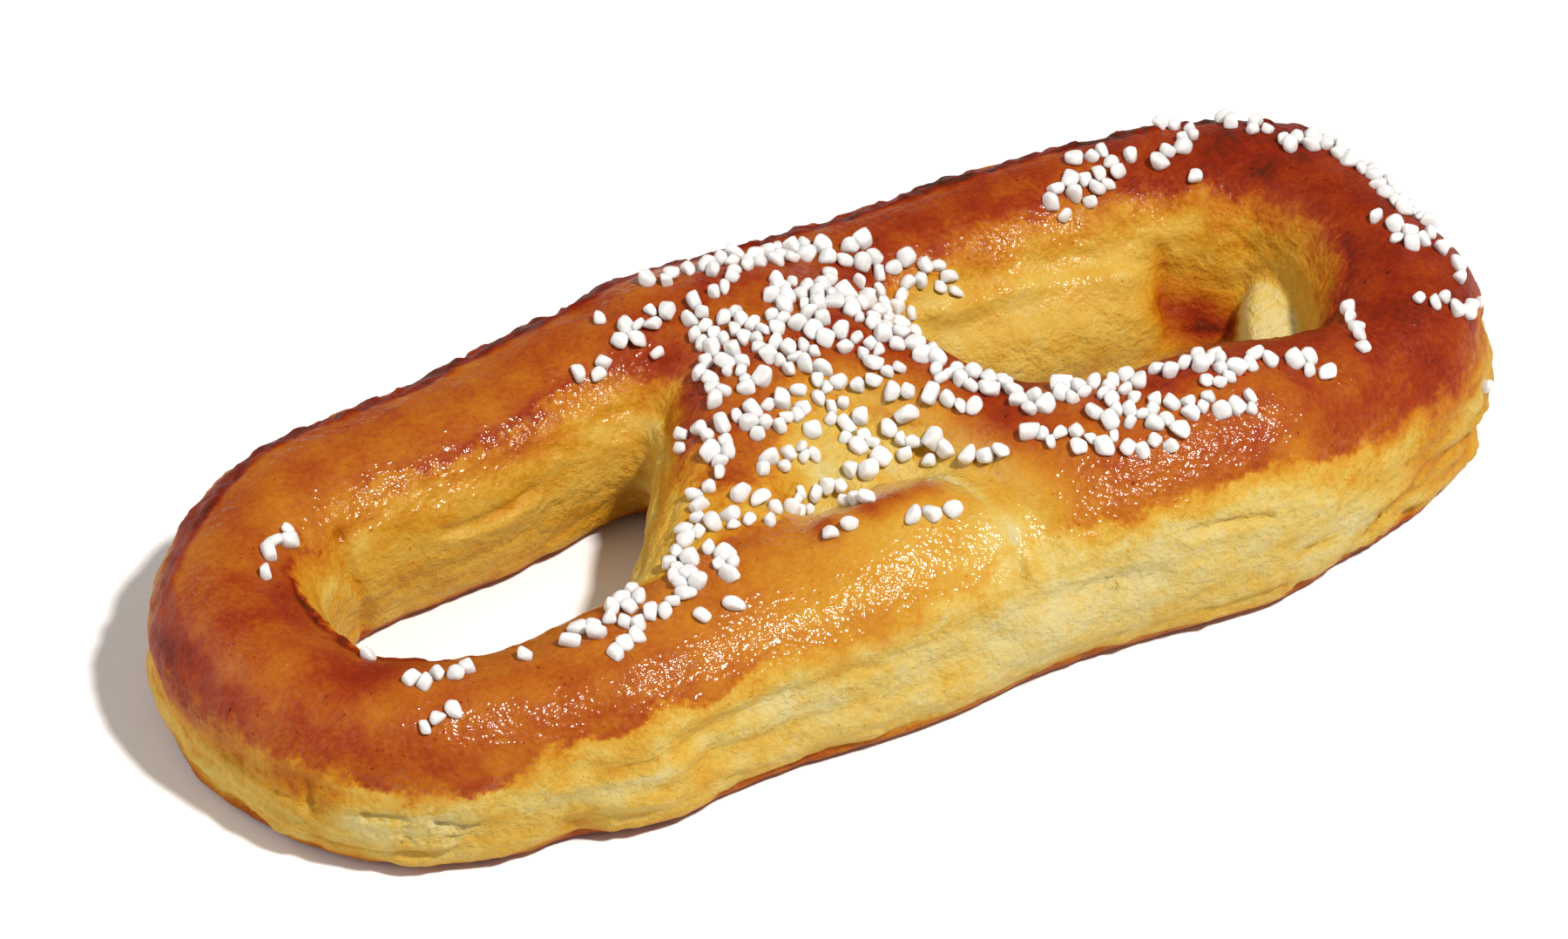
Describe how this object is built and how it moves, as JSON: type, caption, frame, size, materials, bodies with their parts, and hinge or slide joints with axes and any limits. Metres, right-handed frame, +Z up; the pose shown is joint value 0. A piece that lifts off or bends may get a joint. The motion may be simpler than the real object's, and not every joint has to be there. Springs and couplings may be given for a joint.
{
  "type": "danish pastry",
  "caption": "Oblong looped sweet bun of egg-washed dough, its strands crossed as a broad bridge between open holes, with a glossy browned top, pale sides and pearl sugar.",
  "frame": {"origin": "middle of the overall box in plan, on the flat underside", "axes": "+X along the length, towards the thick, darker end; +Y across, away from the viewer of the picture; +Z up"},
  "size_m": [0.1831, 0.0807, 0.0318],
  "materials": {
    "crust": "egg-washed baked crust, glossy brown on top and matt pale yellow at the sides",
    "pearl_sugar": "opaque white compressed sugar grains, slightly translucent at the edges"
  },
  "bodies": {
    "root": {"bun": "crust"}
  },
  "joints": []
}
